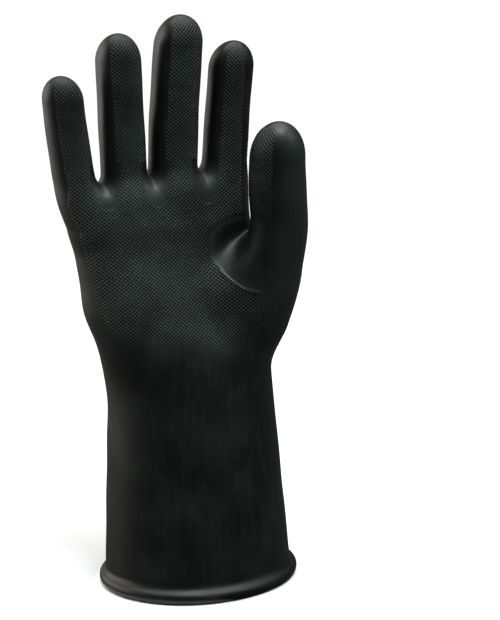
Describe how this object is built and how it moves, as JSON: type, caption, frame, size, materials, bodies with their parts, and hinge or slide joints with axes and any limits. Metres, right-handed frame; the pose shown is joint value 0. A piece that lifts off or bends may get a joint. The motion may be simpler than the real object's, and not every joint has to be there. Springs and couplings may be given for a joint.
{
  "type": "electrical insulating glove",
  "caption": "Thick black rubber glove for a right hand, with a long gauntlet sleeve and a rolled cuff, standing upright; its wrist, thumb and fingers bend.",
  "frame": {"origin": "middle of the bounding box, on the face that the cuff stands on", "axes": "+Z from the cuff to the fingertips, -Y the way the palm faces, +X the thumb side"},
  "size_m": [0.1482, 0.1058, 0.331],
  "materials": {
    "grip_rubber": "satin, with a fine raised diamond grip pattern on the palm side",
    "sleeve_rubber": "smooth satin",
    "bead_rubber": "smooth satin"
  },
  "bodies": {
    "cuff": {"cuff_bead": "bead_rubber", "gauntlet_sleeve": "sleeve_rubber", "wrist_band": "sleeve_rubber"},
    "hand": {"hand_shell": "grip_rubber", "thumb_root_band": "grip_rubber", "index_finger_knuckle_band": "grip_rubber", "middle_finger_knuckle_band": "grip_rubber", "ring_finger_knuckle_band": "grip_rubber", "little_finger_knuckle_band": "grip_rubber"},
    "thumb_base": {"thumb_base": "grip_rubber", "thumb_end_band": "grip_rubber"},
    "thumb_end": {"thumb_tip": "grip_rubber"},
    "index_base": {"index_finger_base": "grip_rubber", "index_finger_middle_band": "grip_rubber"},
    "index_middle": {"index_finger_middle": "grip_rubber", "index_finger_end_band": "grip_rubber"},
    "index_end": {"index_finger_tip": "grip_rubber"},
    "middle_base": {"middle_finger_base": "grip_rubber", "middle_finger_middle_band": "grip_rubber"},
    "middle_middle": {"middle_finger_middle": "grip_rubber", "middle_finger_end_band": "grip_rubber"},
    "middle_end": {"middle_finger_tip": "grip_rubber"},
    "ring_base": {"ring_finger_base": "grip_rubber", "ring_finger_middle_band": "grip_rubber"},
    "ring_middle": {"ring_finger_middle": "grip_rubber", "ring_finger_end_band": "grip_rubber"},
    "ring_end": {"ring_finger_tip": "grip_rubber"},
    "little_base": {"little_finger_base": "grip_rubber", "little_finger_middle_band": "grip_rubber"},
    "little_middle": {"little_finger_middle": "grip_rubber", "little_finger_end_band": "grip_rubber"},
    "little_end": {"little_finger_tip": "grip_rubber"}
  },
  "joints": [
    {"name": "wrist_bend", "type": "hinge", "parent": "cuff", "child": "hand", "pos_m": [0.01034, 0.00234, 0.121], "axis": [1, 0, 0], "range_deg": [-15, 25], "stiffness_Nm_per_rad": 1.5, "deforming": ["wrist_band"]},
    {"name": "thumb_spread", "type": "hinge", "parent": "hand", "child": "thumb_base", "pos_m": [0.05316, -0.03128, 0.223], "axis": [0, 0.9769, 0.2139], "range_deg": [-8, 28], "stiffness_Nm_per_rad": 0.05, "deforming": ["thumb_root_band"]},
    {"name": "thumb_end_bend", "type": "hinge", "parent": "thumb_base", "child": "thumb_end", "pos_m": [0.05019, -0.03723, 0.247], "axis": [0, -0.9769, -0.2139], "range_deg": [0, 30], "stiffness_Nm_per_rad": 0.02, "deforming": ["thumb_end_band"]},
    {"name": "index_knuckle_bend", "type": "hinge", "parent": "hand", "child": "index_base", "pos_m": [0.03397, 0.00268, 0.248], "axis": [0.9993, 0, -0.0377], "range_deg": [-10, 28], "stiffness_Nm_per_rad": 0.05, "deforming": ["index_finger_knuckle_band"]},
    {"name": "index_middle_bend", "type": "hinge", "parent": "index_base", "child": "index_middle", "pos_m": [0.0348, 0.00071, 0.27], "axis": [0.9993, 0, -0.0377], "range_deg": [0, 48], "stiffness_Nm_per_rad": 0.03, "deforming": ["index_finger_middle_band"]},
    {"name": "index_end_bend", "type": "hinge", "parent": "index_middle", "child": "index_end", "pos_m": [0.0357, -0.00293, 0.294], "axis": [0.9993, 0, -0.0377], "range_deg": [0, 31.2], "stiffness_Nm_per_rad": 0.02, "deforming": ["index_finger_end_band"]},
    {"name": "middle_knuckle_bend", "type": "hinge", "parent": "hand", "child": "middle_base", "pos_m": [0.00252, 0.00285, 0.248], "axis": [0.9996, 0, -0.0267], "range_deg": [-10, 28], "stiffness_Nm_per_rad": 0.05, "deforming": ["middle_finger_knuckle_band"]},
    {"name": "middle_middle_bend", "type": "hinge", "parent": "middle_base", "child": "middle_middle", "pos_m": [0.00324, 0.00094, 0.275], "axis": [0.9996, 0, -0.0267], "range_deg": [0, 60], "stiffness_Nm_per_rad": 0.03, "deforming": ["middle_finger_middle_band"]},
    {"name": "middle_end_bend", "type": "hinge", "parent": "middle_middle", "child": "middle_end", "pos_m": [0.00402, -0.00273, 0.304], "axis": [0.9996, 0, -0.0267], "range_deg": [0, 39], "stiffness_Nm_per_rad": 0.02, "deforming": ["middle_finger_end_band"]},
    {"name": "ring_knuckle_bend", "type": "hinge", "parent": "hand", "child": "ring_base", "pos_m": [-0.02682, 0.00276, 0.248], "axis": [0.9981, 0, 0.0615], "range_deg": [-10, 28], "stiffness_Nm_per_rad": 0.05, "deforming": ["ring_finger_knuckle_band"]},
    {"name": "ring_middle_bend", "type": "hinge", "parent": "ring_base", "child": "ring_middle", "pos_m": [-0.0283, 0.0008, 0.272], "axis": [0.9981, 0, 0.0615], "range_deg": [0, 60], "stiffness_Nm_per_rad": 0.03, "deforming": ["ring_finger_middle_band"]},
    {"name": "ring_end_bend", "type": "hinge", "parent": "ring_middle", "child": "ring_end", "pos_m": [-0.0299, -0.00288, 0.298], "axis": [0.9981, 0, 0.0615], "range_deg": [0, 39], "stiffness_Nm_per_rad": 0.02, "deforming": ["ring_finger_end_band"]},
    {"name": "little_knuckle_bend", "type": "hinge", "parent": "hand", "child": "little_base", "pos_m": [-0.05666, 0.00244, 0.247], "axis": [0.9886, 0, 0.1502], "range_deg": [-10, 28], "stiffness_Nm_per_rad": 0.05, "deforming": ["little_finger_knuckle_band"]},
    {"name": "little_middle_bend", "type": "hinge", "parent": "little_base", "child": "little_middle", "pos_m": [-0.05939, 0.00026, 0.265], "axis": [0.9886, 0, 0.1502], "range_deg": [0, 50], "stiffness_Nm_per_rad": 0.03, "deforming": ["little_finger_middle_band"]},
    {"name": "little_end_bend", "type": "hinge", "parent": "little_middle", "child": "little_end", "pos_m": [-0.06205, -0.00313, 0.2825], "axis": [0.9886, 0, 0.1502], "range_deg": [0, 32.5], "stiffness_Nm_per_rad": 0.02, "deforming": ["little_finger_end_band"]}
  ],
  "couplings": [
    {"joint": "index_end_bend", "follows": "index_middle_bend", "ratio": 0.65},
    {"joint": "middle_end_bend", "follows": "middle_middle_bend", "ratio": 0.65},
    {"joint": "ring_end_bend", "follows": "ring_middle_bend", "ratio": 0.65},
    {"joint": "little_end_bend", "follows": "little_middle_bend", "ratio": 0.65}
  ]
}
